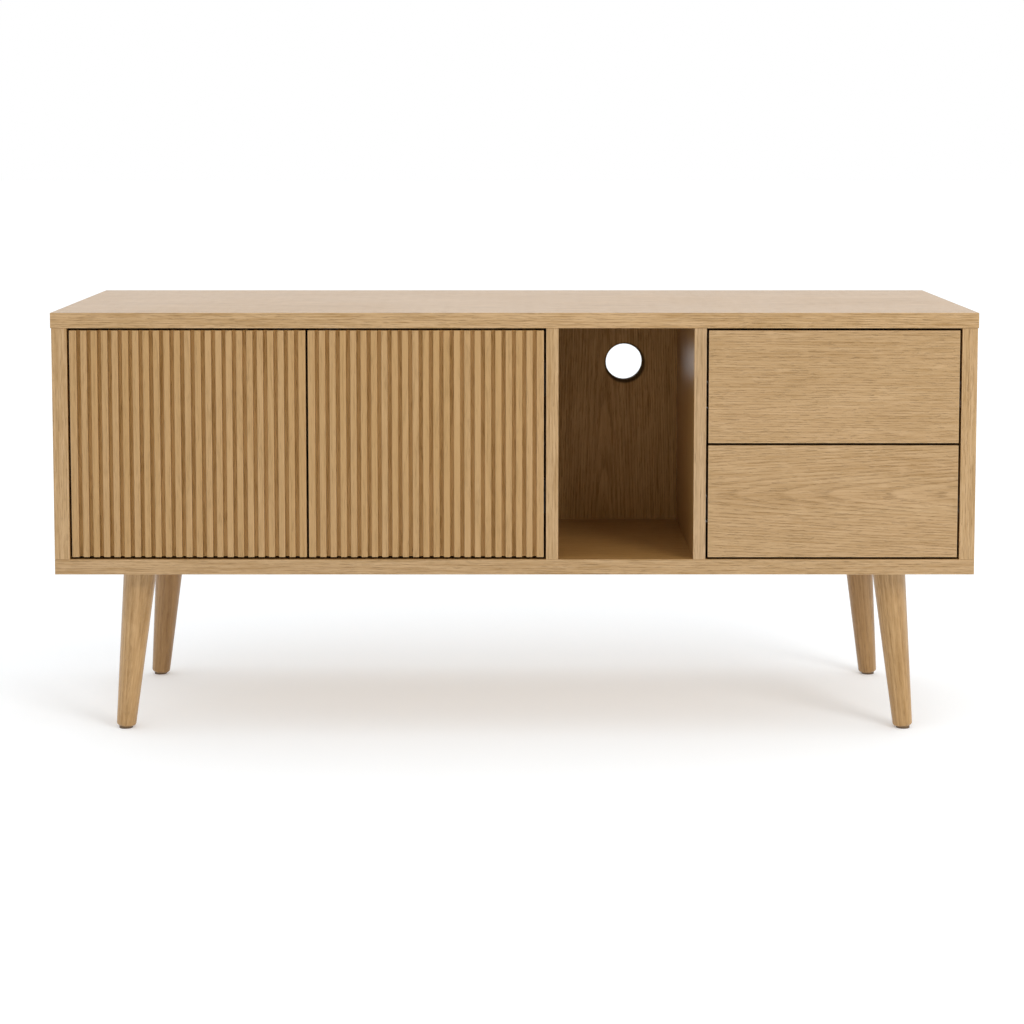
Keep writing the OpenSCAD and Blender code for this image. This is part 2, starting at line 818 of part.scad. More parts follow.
// A channel with its web at x0, open towards x1
module channel(x0, x1, h) {
  web = x1 > x0 ? rail_t : -rail_t;
  low = min(x0, x1);
  high = max(x0, x1);
  difference() {
    block([low, 0, -h / 2], [high, box_l, h / 2]);
    block([x1 > x0 ? x0 + web : low - 1, -1, rail_t - h / 2], [x1 > x0 ? high + 1 : x0 + web, box_l + 1, h / 2 - rail_t]);
  }
}

module rail_screw_places(k) {
  at_slides(k) for (y = slide_screw_ys) translate([rail_t, y, 0]) aim("-x") children();
}

module drawer_rail_screw_places(k) {
  at_slides(k) for (y = slide_screw_ys) translate([inner_x, y + box_screw_step, 0]) aim("+x") children();
}

module cabinet_rails(k) {
  color(steel) difference() {
    at_slides(k) channel(0, rail_reach, slide_h);
    rail_screw_places(k) rod(screw_r + fit, -9, 9);
  }
}

module middle_rails(k) {
  color(steel) at_slides(k) channel(middle_x, middle_reach, middle_h);
}

module drawer_rails(k) {
  color(steel) difference() {
    at_slides(k) channel(slide_t, inner_reach, inner_h);
    drawer_rail_screw_places(k) rod(screw_r + fit, -9, 9);
  }
}

module slide_rails_upper() { cabinet_rails(1); }
module slide_rails_lower() { cabinet_rails(0); }

module slide_screws() {
  color(zinc) for (k = [0, 1]) rail_screw_places(k) screw(rail_t + 10, head_h = rail_head_h);
}

module drawer_upper_front() { drawer_front(1); }
module drawer_upper_side_left() { drawer_side(1, 0); }
module drawer_upper_side_right() { drawer_side(1, 1); }
module drawer_upper_back() { drawer_back(1); }
module drawer_upper_bottom() { drawer_bottom(1); }
module drawer_upper_fasteners() { drawer_fasteners(1); }
module drawer_upper_rails() { drawer_rails(1); }
module drawer_upper_middle_rails() { middle_rails(1); }
module drawer_upper_plunger() { color(dark_plastic) at_box_latch(1) plunger(box_latch_l); }
module drawer_lower_front() { drawer_front(0); }
module drawer_lower_side_left() { drawer_side(0, 0); }
module drawer_lower_side_right() { drawer_side(0, 1); }
module drawer_lower_back() { drawer_back(0); }
module drawer_lower_bottom() { drawer_bottom(0); }
module drawer_lower_fasteners() { drawer_fasteners(0); }
module drawer_lower_rails() { drawer_rails(0); }
module drawer_lower_middle_rails() { middle_rails(0); }
module drawer_lower_plunger() { color(dark_plastic) at_box_latch(0) plunger(box_latch_l); }

top_panel();
bottom_panel();
side_panel_left();
side_panel_right();
divider_left();
divider_right();
back_panel();
cam_discs();
cam_bolts();
wood_dowels();
back_screws();
shelf();
shelf_pins();
leg_front_left();
leg_front_right();
leg_rear_left();
leg_rear_right();
leg_plates();
leg_bolts();
leg_plate_screws();
foot_glides();
hinge_arms();
hinge_plates();
hinge_plate_screws();
latch_housings();
latch_screws();
slide_rails_upper();
slide_rails_lower();
slide_screws();
door_left_panel();
door_left_slats();
door_left_hinge_cups();
door_left_cup_screws();
door_left_strike();
door_left_plunger();
door_right_panel();
door_right_slats();
door_right_hinge_cups();
door_right_cup_screws();
door_right_strike();
door_right_plunger();
drawer_upper_front();
drawer_upper_side_left();
drawer_upper_side_right();
drawer_upper_back();
drawer_upper_bottom();
drawer_upper_fasteners();
drawer_upper_rails();
drawer_upper_middle_rails();
drawer_upper_plunger();
drawer_lower_front();
drawer_lower_side_left();
drawer_lower_side_right();
drawer_lower_back();
drawer_lower_bottom();
drawer_lower_fasteners();
drawer_lower_rails();
drawer_lower_middle_rails();
drawer_lower_plunger();
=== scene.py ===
# Looks of the media cabinet: oak case, slatted doors, two drawers, an open niche and turned legs.
import math

import bpy
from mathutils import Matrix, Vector


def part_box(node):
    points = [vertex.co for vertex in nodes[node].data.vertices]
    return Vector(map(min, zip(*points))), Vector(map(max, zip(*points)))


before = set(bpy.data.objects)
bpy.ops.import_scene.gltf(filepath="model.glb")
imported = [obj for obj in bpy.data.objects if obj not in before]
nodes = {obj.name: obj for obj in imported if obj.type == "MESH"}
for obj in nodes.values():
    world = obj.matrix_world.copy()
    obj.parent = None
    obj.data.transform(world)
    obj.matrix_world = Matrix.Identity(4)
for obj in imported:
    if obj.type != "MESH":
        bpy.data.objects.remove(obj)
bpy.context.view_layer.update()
bpy.ops.object.select_all(action="DESELECT")
print("frame loaded:", len(nodes), "nodes")


# short ways to add the nodes that every finish uses

def feed(tree, socket, value):
    # an output socket is linked, anything else is the socket's own value
    if isinstance(value, bpy.types.NodeSocket):
        tree.links.new(value, socket)
    elif value is not None:
        socket.default_value = value


def addNode(tree, kind, inputs=None, **settings):
    node = tree.nodes.new(kind)
    for key, value in settings.items():
        setattr(node, key, value)
    for key, value in (inputs or {}).items():
        feed(tree, node.inputs[key], value)
    return node


def calc(tree, operation, a, b=None, clamp=False):
    node = addNode(tree, "ShaderNodeMath", operation=operation, use_clamp=clamp)
    for socket, value in zip(node.inputs, (a, b)):
        feed(tree, socket, value)
    return node.outputs[0]


def total(tree, *values):
    result = values[0]
    for value in values[1:]:
        result = calc(tree, "ADD", result, value)
    return result


def swing(tree, value, weight):
    # noise from 0 to 1 becomes a swing to both sides of nought
    return calc(tree, "MULTIPLY", calc(tree, "SUBTRACT", value, 0.5), weight)


def square(tree, value):
    return calc(tree, "MULTIPLY", value, value)


def vectorCalc(tree, operation, a, b=None):
    node = addNode(tree, "ShaderNodeVectorMath", operation=operation)
    for socket, value in zip(node.inputs, (a, b)):
        feed(tree, socket, value)
    return node.outputs["Value" if operation == "DOT_PRODUCT" else "Vector"]


def joinParts(tree, x=None, y=None, z=None):
    return addNode(tree, "ShaderNodeCombineXYZ", {"X": x, "Y": y, "Z": z}).outputs[0]


def splitParts(tree, vector):
    return addNode(tree, "ShaderNodeSeparateXYZ", {"Vector": vector}).outputs


def mixColour(tree, factor, a, b, blend="MIX"):
    node = addNode(tree, "ShaderNodeMix", data_type="RGBA", blend_type=blend)
    for number, value in ((0, factor), (6, a), (7, b)):      # sockets of the colour mix
        feed(tree, node.inputs[number], value)
    return node.outputs[2]


def tonedWhere(tree, mask, colour, tone):
    # the colour is multiplied by the tone where the mask is 1
    return mixColour(tree, mask, colour, mixColour(tree, 1.0, colour, tone, "MULTIPLY"))


def smoothStep(tree, value, low, high, toLow=0.0, toHigh=1.0):
    return addNode(tree, "ShaderNodeMapRange", {
        "Value": value, "From Min": low, "From Max": high, "To Min": toLow, "To Max": toHigh,
    }, interpolation_type="SMOOTHSTEP").outputs[0]


def stretch(tree, vector, scale, shift=(0, 0, 0)):
    return addNode(tree, "ShaderNodeMapping", {
        "Vector": vector, "Scale": scale, "Location": shift}).outputs[0]


def noise(tree, vector, scale, detail=2.0, roughness=0.5, distortion=0.0):
    return addNode(tree, "ShaderNodeTexNoise", {
        "Vector": vector, "Scale": scale, "Detail": detail, "Roughness": roughness, "Distortion": distortion,
    }).outputs["Fac"]


def shade(colour, factor):
    # factor is one number, or one each for red, green and blue
    parts = factor if isinstance(factor, tuple) else (factor,) * 3
    return (colour[0] * parts[0], colour[1] * parts[1], colour[2] * parts[2], 1)


def newGroup(name, inputs, outputs):
    tree = bpy.data.node_groups.new(name, "ShaderNodeTree")
    for label, kind, value in inputs:
        socket = tree.interface.new_socket(name=label, in_out="INPUT", socket_type="NodeSocket" + kind)
        if value is not None:
            socket.default_value = value
    for label, kind in outputs:
        tree.interface.new_socket(name=label, in_out="OUTPUT", socket_type="NodeSocket" + kind)
    return tree, tree.nodes.new("NodeGroupInput").outputs, tree.nodes.new("NodeGroupOutput").inputs


def groupNode(tree, group, inputs):
    node = tree.nodes.new("ShaderNodeGroup")
    node.node_tree = group
    for key, value in inputs.items():
        feed(tree, node.inputs[key], value)
    return node.outputs


oakFigure = {
    # waves per metre along the grain, across the face and into the board; shift; detail; roughness
    "slow": ((2.2, 9, 9), (0, 0, 0), 2, 0.5),
    "slower": ((6, 26, 26), (3, 1, 2), 3, 0.55),
    "ripple": ((17, 34, 34), (5, 9, 1), 2, 0.5),
    "bands": ((5, 120, 120), (4, 2, 9), 2, 0.5),
    "broad": ((17, 480, 480), (0, 0, 0), 3, 0.6),
    "fine": ((50, 1300, 1300), (5, 2, 1), 3, 0.65),
    "dashes": ((55, 1900, 1900), (1, 7, 3), 2, 0.5),
    "clouds": ((2.6, 11, 11), (9, 4, 6), 3, 0.5),
    "rays": ((38, 210, 60), (2, 8, 5), 2, 0.4),
    "warmth": ((4, 90, 90), (7, 3, 5), 2, 0.5),
}
oakWeight = {
    "seed": (1.37, 0.61, 0.29),       # how far a seed moves the board through the noise
    "slower": 0.30, "ripple": 0.16,   # parts of the wandering
    "ringDrift": 0.6,                 # extra wandering of the rings
    "ringUneven": 1.6, "ringUnevenScale": 0.37,
    "ringStart": 0.16,                # the pore band starts sharply
    "ringFade": (0.18, 0.95),         # and fades into the dense wood
    "broad": 1.7, "fine": 1.1, "bands": 0.8,
    "poreLimit": 0.66, "poreInRings": 0.12, "poreEdge": 0.08,
    "rayLimits": (0.62, 0.72), "rays": 0.14,
    "clouds": 0.40, "base": 0.32,
    "warmth": 0.5, "warm": (1.03, 0.96, 0.98, 1),
    "heightFibres": 0.35, "heightRings": -0.15, "heightPores": 0.9,
}


def makeOakGrain():
    # grain runs along X of the vector given, Y lies across the face and Z goes into the board
    tree, given, result = newGroup("oakGrain", [
        ("Vector", "Vector", None), ("Seed", "Float", 0.0), ("Ring Width", "Float", 0.006),
        ("Pith Offset", "Float", 0.05), ("Pith Depth", "Float", 0.03), ("Taper", "Float", 0.05),
        ("Wander", "Float", 0.012), ("Ring Strength", "Float", 0.5), ("Fibre Strength", "Float", 0.5),
        ("Pore Strength", "Float", 0.5), ("Pale", "Color", (0.6, 0.4, 0.22, 1)),
        ("Brown", "Color", (0.4, 0.25, 0.12, 1)), ("Pore Colour", "Color", (0.25, 0.14, 0.06, 1)),
    ], [("Color", "Color"), ("Rings", "Float"), ("Pores", "Float"), ("Height", "Float")])

    def figure(name, vector):
        scale, shift, detail, roughness = oakFigure[name]
        return noise(tree, stretch(tree, vector, scale, shift), 1.0, detail, roughness)

    def times(value, factor):
        return calc(tree, "MULTIPLY", value, factor)

    seedShift = joinParts(tree, *[times(given["Seed"], share) for share in oakWeight["seed"]])
    place = vectorCalc(tree, "ADD", given["Vector"], seedShift)

    # slow wandering of the fibres, strongest across the board
    drift = total(tree, calc(tree, "SUBTRACT", figure("slow", place), 0.5),
                  swing(tree, figure("slower", place), oakWeight["slower"]),
                  swing(tree, figure("ripple", place), oakWeight["ripple"]))
    drift = times(drift, given["Wander"])

    # year rings round the pith of the log
    part = splitParts(tree, given["Vector"])
    across = calc(tree, "ADD", calc(tree, "SUBTRACT", part[1], given["Pith Offset"]), drift)
    deep = calc(tree, "ADD", part[2], given["Pith Depth"])
    radius = calc(tree, "SQRT", calc(tree, "ADD", square(tree, across), square(tree, deep)))
    radius = total(tree, radius, times(part[0], given["Taper"]), times(drift, oakWeight["ringDrift"]))
    turns = calc(tree, "DIVIDE", radius, given["Ring Width"])
    ringPlace = joinParts(tree, times(turns, oakWeight["ringUnevenScale"]), given["Seed"])
    ringNoise = noise(tree, ringPlace, 1.0, 1)
    phase = calc(tree, "FRACT", calc(tree, "ADD", turns, swing(tree, ringNoise, oakWeight["ringUneven"])))
    early = smoothStep(tree, phase, 0.0, oakWeight["ringStart"])
    late = smoothStep(tree, phase, *oakWeight["ringFade"], 1.0, 0.0)
    rings = times(early, late)

    # fibres as fine streaks along the board, in bands
    wavy = vectorCalc(tree, "ADD", joinParts(tree, part[0], across, part[2]), seedShift)
    fibres = total(tree, *[swing(tree, figure(name, wavy), oakWeight[name])
                           for name in ("broad", "fine", "bands")])

    # open pores: short dark dashes, thickest in the pore bands
    poreLimit = calc(tree, "SUBTRACT", oakWeight["poreLimit"], times(rings, oakWeight["poreInRings"]))
    poreFull = calc(tree, "ADD", poreLimit, oakWeight["poreEdge"])
    pores = smoothStep(tree, figure("dashes", wavy), poreLimit, poreFull)

    # broad cloudy tone and pale ray flecks
    rays = smoothStep(tree, figure("rays", wavy), *oakWeight["rayLimits"])
    tone = total(tree, times(rings, given["Ring Strength"]), times(fibres, given["Fibre Strength"]),
                 swing(tree, figure("clouds", place), oakWeight["clouds"]))
    tone = calc(tree, "SUBTRACT", tone, times(rays, oakWeight["rays"]))
    tone = calc(tree, "ADD", tone, oakWeight["base"], clamp=True)

    warmth = times(figure("warmth", wavy), oakWeight["warmth"])
    pale = tonedWhere(tree, warmth, given["Pale"], oakWeight["warm"])
    colour = mixColour(tree, tone, pale, given["Brown"])
    colour = mixColour(tree, times(pores, given["Pore Strength"]), colour, given["Pore Colour"])
    height = total(tree, times(fibres, oakWeight["heightFibres"]), times(rings, oakWeight["heightRings"]))
    height = calc(tree, "SUBTRACT", height, times(pores, oakWeight["heightPores"]))
    for label, value in (("Color", colour), ("Rings", rings), ("Pores", pores), ("Height", height)):
        feed(tree, result[label], value)
    return tree


edgeFeel = {"scale": 90, "uneven": 1.6}


def makeEdgeWear():
    # how near a point of a box-shaped piece is to one of its edges, broken up by noise
    tree, given, result = newGroup("edgeWear", [
        ("Vector", "Vector", None), ("Centre", "Vector", None), ("Half Size", "Vector", None),
        ("Width", "Float", 0.002)], [("Wear", "Float")])
    fromCentre = vectorCalc(tree, "ABSOLUTE", vectorCalc(tree, "SUBTRACT", given["Vector"], given["Centre"]))
    part = splitParts(tree, vectorCalc(tree, "SUBTRACT", given["Half Size"], fromCentre))
    lowest = calc(tree, "MINIMUM", part[0], calc(tree, "MINIMUM", part[1], part[2]))
    highest = calc(tree, "MAXIMUM", part[0], calc(tree, "MAXIMUM", part[1], part[2]))
    middle = calc(tree, "SUBTRACT", calc(tree, "SUBTRACT", total(tree, *part[0:3]), lowest), highest)
    uneven = noise(tree, given["Vector"], edgeFeel["scale"], 3, 0.6)
    reach = calc(tree, "MULTIPLY", given["Width"], calc(tree, "MULTIPLY", uneven, edgeFeel["uneven"]))
    feed(tree, result["Wear"], smoothStep(tree, middle, 0.0, reach, 1.0, 0.0))
    return tree


marksFeel = {"limits": (0.4, 0.7), "speckleScale": 160}


def makeHandling():
    # light dust and handling marks: slow patches with a fine speckle
    tree, given, result = newGroup("handling", [("Vector", "Vector", None), ("Scale", "Float", 6.0)],
                                   [("Marks", "Float"), ("Speckle", "Float")])
    patches = noise(tree, given["Vector"], given["Scale"], 4, 0.6, 0.3)
    speckleScale = calc(tree, "MULTIPLY", given["Scale"], marksFeel["speckleScale"])
    feed(tree, result["Marks"], smoothStep(tree, patches, *marksFeel["limits"]))
    feed(tree, result["Speckle"], noise(tree, given["Vector"], speckleScale, 2, 0.5))
    return tree


oakGrain = makeOakGrain()
edgeWear = makeEdgeWear()
handling = makeHandling()
print("grain and marks ready")


def newMaterial(name):
    material = bpy.data.materials.new(name)
    material.use_nodes = True
    tree = material.node_tree
    tree.nodes.clear()
    shader = tree.nodes.new("ShaderNodeBsdfPrincipled")
    end = tree.nodes.new("ShaderNodeOutputMaterial")
    tree.links.new(shader.outputs[0], end.inputs[0])
    return material, tree, shader


def putOn(node, material):
    # every slot of the CAD node shows the finish
    piece = nodes[node]
    if not piece.material_slots:
        piece.data.materials.append(material)
    for slot in piece.material_slots:
        slot.material = material


# turns object coordinates so that the named axis becomes X, the grain
grainTurns = {"X": (0, 0, 0), "Y": (0, 0, -math.pi / 2), "Z": (0, math.pi / 2, 0)}
grainAxes = {"X": (1, 0, 0), "Y": (0, 1, 0), "Z": (0, 0, 1)}
bandGrain = {"X": "Y", "Y": "X", "Z": "Y"}    # edge bands across the ends of a board run this way
facingLimit = 0.6                             # a face counts as turned to an axis past this
narrowLimit = 0.3                             # and as edgeways to the front below this

oakTone = {
    "pale": (0.523, 0.339, 0.161, 1),
    "brown": (0.330, 0.180, 0.050, 1),
    "pore": (0.255, 0.130, 0.032, 1),
    "inside": (0.90, 0.78, 0.55, 1),      # painted shade on the faces inside the case
    "narrowShade": (1, 0.92, 0.8),             # painted shade in the gaps, on the narrow faces round a front
    # colour of the painted shade round the cable hole
    "rimShade": (0.02, 0.010, 0.004, 1),
    "slatBrown": 1.25,                    # brown that the slats vary towards
    "worn": (0.3, 1.12),                  # how much and how pale the edges wear
    "roughness": 0.40,
    "poreRough": 0.22,
    "marksRough": 0.05,
    "ringRough": 0.04,
    "marksScale": 5.0,
    "speckle": 0.12,
    "ior": 1.48,
    "coat": 0.3,
    "coatRoughness": 0.28,
    "bump": 0.00022,
    "ringWidth": 0.0032,
    "bevel": 0.0005,
}


def grainVector(tree, spot, centre, grain, rotation):
    local = vectorCalc(tree, "SUBTRACT", spot["Object"], centre)

    def turned(rotate):
        return addNode(tree, "ShaderNodeMapping", {"Vector": local, "Rotation": rotate}).outputs[0]

    if rotation:
        return turned(rotation)
    # the edge bands hide the end grain
    facing = calc(tree, "ABSOLUTE", vectorCalc(tree, "DOT_PRODUCT", spot["Normal"], grainAxes[grain]))
    end = calc(tree, "GREATER_THAN", facing, facingLimit)
    board, band = turned(grainTurns[grain]), turned(grainTurns[bandGrain[grain]])
    mix = addNode(tree, "ShaderNodeMix", {0: end, 4: board, 5: band}, data_type="VECTOR")
    return mix.outputs[1]


def facingMask(tree, spot, axes):
    most = 0.0
    for axis in axes:
        most = calc(tree, "MAXIMUM", most, vectorCalc(tree, "DOT_PRODUCT", spot["Normal"], axis))
    return calc(tree, "GREATER_THAN", most, facingLimit)


def slatChance(tree, spot, seed, slats):
    # a random number for each slat, because each is a strip of its own
    alongRow = calc(tree, "SUBTRACT", splitParts(tree, spot["Object"])[0], slats["start"])
    number = calc(tree, "FLOOR", calc(tree, "DIVIDE", alongRow, slats["pitch"]))
    return addNode(tree, "ShaderNodeTexWhiteNoise", {"W": calc(tree, "ADD", number, seed)},
                   noise_dimensions="1D").outputs[0]


def rimMask(tree, spot, hole):
    # painted shade: a dark ring round the hole, standing in for its shaded bore
    part = splitParts(tree, spot["Object"])
    squares = [calc(tree, "POWER", calc(tree, "SUBTRACT", part[axis], hole[name] + shift), 2.0)
               for axis, name, shift in ((0, "x", hole["shift"][0]), (2, "z", hole["shift"][1]))]
    away = calc(tree, "SQRT", calc(tree, "ADD", *squares))
    return smoothStep(tree, away, hole["radius"] + hole["clean"], hole["radius"] + hole["rim"], 1.0, 0.0)


# pith is where the middle of the log lies from the board, across it and behind it
def woodMaterial(node, grain, seed, pith=(-0.2, 0.05), taper=0.008, rings=0.12, fibres=0.85, pores=0.45,
                 wander=0.009, ringWidth=oakTone["ringWidth"], tint=1.0, wear=0.0018, rotation=None,
                 slats=None, inside=(), gloss=0.5, coat=oakTone["coat"], hole=None, gapShade=0.0, front=None,
                 tone=oakTone, kind="oak"):
    material, tree, shader = newMaterial(kind + "_" + node)
    lo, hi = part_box(node)
    centre = [(a + b) / 2 for a, b in zip(lo, hi)]
    half = [(b - a) / 2 for a, b in zip(lo, hi)]
    spot = tree.nodes.new("ShaderNodeTexCoord").outputs
    seedValue = seed
    if slats:
        chance = slatChance(tree, spot, seed, slats)
        seedValue = calc(tree, "ADD", calc(tree, "MULTIPLY", chance, slats["seedSpread"]), seed)
    wood = groupNode(tree, oakGrain, {
        "Vector": grainVector(tree, spot, centre, grain, rotation), "Seed": seedValue,
        "Ring Width": ringWidth, "Pith Offset": pith[0], "Pith Depth": pith[1], "Taper": taper,
        "Wander": wander,
        "Ring Strength": rings, "Fibre Strength": fibres, "Pore Strength": pores,
        "Pale": shade(tone["pale"], tint), "Brown": shade(tone["brown"], tint),
        "Pore Colour": shade(tone["pore"], tint)})
    touched = groupNode(tree, handling, {"Vector": spot["Object"], "Scale": oakTone["marksScale"]})
    worn = groupNode(tree, edgeWear, {
        "Vector": spot["Object"], "Centre": centre, "Half Size": half, "Width": wear})[0]

    colour = wood["Color"]
    if slats:
        slatShare = calc(tree, "ADD", 0.5, swing(tree, chance, slats["spread"]))
        colour = mixColour(tree, slatShare, shade(oakTone["brown"], oakTone["slatBrown"]), colour)
    wornShare, wornTone = oakTone["worn"]
    colour = mixColour(tree, calc(tree, "MULTIPLY", worn, wornShare), colour,
                       shade(shade(tone["pale"], tint), wornTone))
    # painted shade: faces turned into the case are darkened
    if inside:
        colour = tonedWhere(tree, facingMask(tree, spot, inside), colour, oakTone["inside"])
    if gapShade:
        # painted shade in the gaps: the narrow faces round a front are darkened
        ahead = calc(tree, "ABSOLUTE", splitParts(tree, spot["Normal"])[1])
        narrowShade = calc(tree, "LESS_THAN", ahead, narrowLimit)
        colour = tonedWhere(tree, narrowShade, colour, shade(oakTone["narrowShade"], gapShade))
    if front:
        # the face turned to the front gets a tone of its own: painted shade on the back of the niche, painted
        # light on the groove floors of the doors
        colour = tonedWhere(tree, facingMask(tree, spot, ((0, -1, 0),)), colour, front)
    # painted shade round the cable hole
    if hole:
        rim = rimMask(tree, spot, hole)
        colour = mixColour(tree, calc(tree, "MULTIPLY", rim, hole["rimShadeStrength"]), colour, oakTone["rimShade"])
    feed(tree, shader.inputs["Base Color"], colour)

    rough = total(tree, oakTone["roughness"], calc(tree, "MULTIPLY", wood["Pores"], oakTone["poreRough"]),
                  calc(tree, "MULTIPLY", touched["Marks"], oakTone["marksRough"]))
    rough = calc(tree, "SUBTRACT", rough, calc(tree, "MULTIPLY", wood["Rings"], oakTone["ringRough"]))
    if hole:
        rough = calc(tree, "ADD", rough, calc(tree, "MULTIPLY", rim, hole["rough"]), clamp=True)
    feed(tree, shader.inputs["Roughness"], rough)
    raised = calc(tree, "ADD", wood["Height"], calc(tree, "MULTIPLY", touched["Speckle"], oakTone["speckle"]))
    bump = addNode(tree, "ShaderNodeBump", {"Strength": 1.0, "Distance": oakTone["bump"], "Height": raised})
    feed(tree, shader.inputs["Normal"], bump.outputs[0])
    shader.inputs["IOR"].default_value = oakTone["ior"]
    shader.inputs["Specular IOR Level"].default_value = gloss
    shader.inputs["Coat Weight"].default_value = coat
    shader.inputs["Coat Roughness"].default_value = oakTone["coatRoughness"]
    putOn(node, material)


edgeShape = {"weld": 0.00001, "segments": 2, "angle": 50}


def softenEdges(node, width):
    # the saw-sharp edges of a board are broken by sandpaper
    piece = nodes[node]
    weld = piece.modifiers.new("joined", "WELD")
    weld.merge_threshold = edgeShape["weld"]
    bevel = piece.modifiers.new("broken edges", "BEVEL")
    bevel.width = width
    bevel.segments = edgeShape["segments"]
    bevel.limit_method = "ANGLE"
    bevel.angle_limit = math.radians(edgeShape["angle"])
    bevel.use_clamp_overlap = False


left, right, up, down = (-1, 0, 0), (1, 0, 0), (0, 0, 1), (0, 0, -1)
cableHole = {
    "x": 0.157, "z": 0.4645, "radius": 0.026,
    "clean": 0.001, "rim": 0.005,      # the painted shade fades between these two distances from the hole
    "shift": (0.0012, -0.0016),        # it is a little off centre
    "rimShadeStrength": 0.85, "rough": 0.55,
}
# gapShade darkens the narrow faces round the doors and drawer fronts: painted shade in the gaps
doorBack = dict(grain="Z", gloss=0.3, coat=0.0, gapShade=0.65, front=(1.30, 1.19, 0.88, 1))
drawerFront = dict(grain="X", tint=0.95, gapShade=0.65)

# inside lists the faces turned into the case, which get painted shade
boards = {
    "top_panel": dict(grain="X", seed=1.0, fibres=1.25, pores=0.6, coat=0.34, inside=(down,)),
    "bottom_panel": dict(grain="X", seed=2.3, fibres=1.1, tint=0.95, inside=(up,)),
    "side_panel_left": dict(grain="Z", seed=3.1, fibres=1.15, inside=(right,)),
    "side_panel_right": dict(grain="Z", seed=4.7, fibres=1.15, inside=(left,)),
    "divider_left": dict(grain="Z", seed=5.2, tint=0.97, fibres=1.2, inside=(left, right)),
    "divider_right": dict(grain="Z", seed=6.6, tint=0.915, fibres=1.2, coat=0.8, inside=(left, right)),
    # the back panel's front tone is painted shade on the back of the niche
    "back_panel": dict(grain="Z", seed=7.9, pith=(0.02, 0.13), taper=0.03, rings=0.3, fibres=1.2, pores=0.7,
                       gloss=0.12, coat=0.0, front=(0.91, 0.80, 0.58, 1), hole=cableHole),
    "shelf": dict(grain="X", seed=8.4, inside=(up, down)),
    "drawer_upper_front": dict(drawerFront, seed=9.5, pith=(0.05, 0.3)),
    "drawer_lower_front": dict(drawerFront, seed=10.2, pith=(0.02, -0.01), taper=-0.05, rings=0.2),
    # the door panels' front tone is painted light on the groove floors between the slats
    "door_left_panel": dict(doorBack, seed=11.8),
    "door_right_panel": dict(doorBack, seed=12.3),
}
for node, values in boards.items():
    woodMaterial(node, **values)
    if node != "back_panel":           # its edges are hidden in the case
        softenEdges(node, oakTone["bevel"])
print("boards finished")

slatRow = {
    "count": 23, "groove": 0.0052,
    "outer": 0.0011,                   # the outer slats are this much wider
    "seeds": {"door_left_slats": 13.4, "door_right_slats": 14.9},
    "seedSpread": 7.0,                 # how far the slats of a door differ in grain
    "spread": 0.26,                    # and in tone
    "grain": dict(rings=0.1, fibres=0.65, wear=0.0012),
    "bevel": 0.0006,
}
for node, seed in slatRow["seeds"].items():
    lo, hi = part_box(node)
    pitch = (hi[0] - lo[0] - 2 * slatRow["outer"] + slatRow["groove"]) / slatRow["count"]
    start = lo[0] + slatRow["outer"] - slatRow["groove"] / 2
    woodMaterial(node, "Z", seed, slats=dict(slatRow, start=start, pitch=pitch), **slatRow["grain"])
    softenEdges(node, slatRow["bevel"])
print("slats finished")

legWood = {
    "lean": (0.021, 0.008), "height": 0.217,
    "grain": dict(pith=(0.03, 0.035), taper=0.02, rings=0.22, wander=0.006, ringWidth=0.0045),
    "legs": {                          # seed and tint of each; the rear legs' darker tints are painted shade from the case above them
        "leg_front_left": (20.3, (1.0, 0.955, 0.84)),
        "leg_front_right": (22.0, (1.0, 0.955, 0.84)),
        "leg_rear_left": (23.7, (0.79, 0.70, 0.52)),
        "leg_rear_right": (25.4, (0.82, 0.75, 0.60)),
    },
}


def legRotation(node):
    # the leg's own axis, from its top to its foot, is turned to lie along X
    lo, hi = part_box(node)
    sideX, sideY = [1 if lo[axis] + hi[axis] > 0 else -1 for axis in (0, 1)]
    leanX, leanY = legWood["lean"]
    legAxis = Vector((sideX * leanX, sideY * leanY, -legWood["height"]))
    return tuple(legAxis.rotation_difference(Vector((1, 0, 0))).to_euler())


for node, (seed, tint) in legWood["legs"].items():
    woodMaterial(node, "Z", seed, tint=tint, rotation=legRotation(node), **legWood["grain"])
print("legs finished")

birchTone = {                          # pale plywood of the drawer boxes
    "pale": (0.660, 0.520, 0.350, 1),
    "brown": (0.480, 0.345, 0.205, 1),
    "pore": (0.400, 0.270, 0.150, 1),
    "bevel": 0.0006,
    "seeds": {"drawer_upper": 30.1, "drawer_lower": 33.4},
    "seedStep": 0.7,
    "panels": {"side_left": "Y", "side_right": "Y", "back": "X", "bottom": "Y"},    # way of the grain
    "grain": dict(rings=0.35, fibres=0.5, pores=0.15, wander=0.012, ringWidth=0.011, coat=0.1),
}
for drawer, seed in birchTone["seeds"].items():
    for panel, grain in birchTone["panels"].items():
        node = drawer + "_" + panel
        woodMaterial(node, grain, seed + birchTone["seedStep"] * len(panel), tone=birchTone, kind="birch",
                     **birchTone["grain"])
        softenEdges(node, birchTone["bevel"])
print("drawer boxes finished")

plainFeel = {"marksScale": 14.0, "spread": 0.06, "brushScale": 900, "brushRough": 0.25, "marksRough": 0.08,
             "bump": 0.00004}


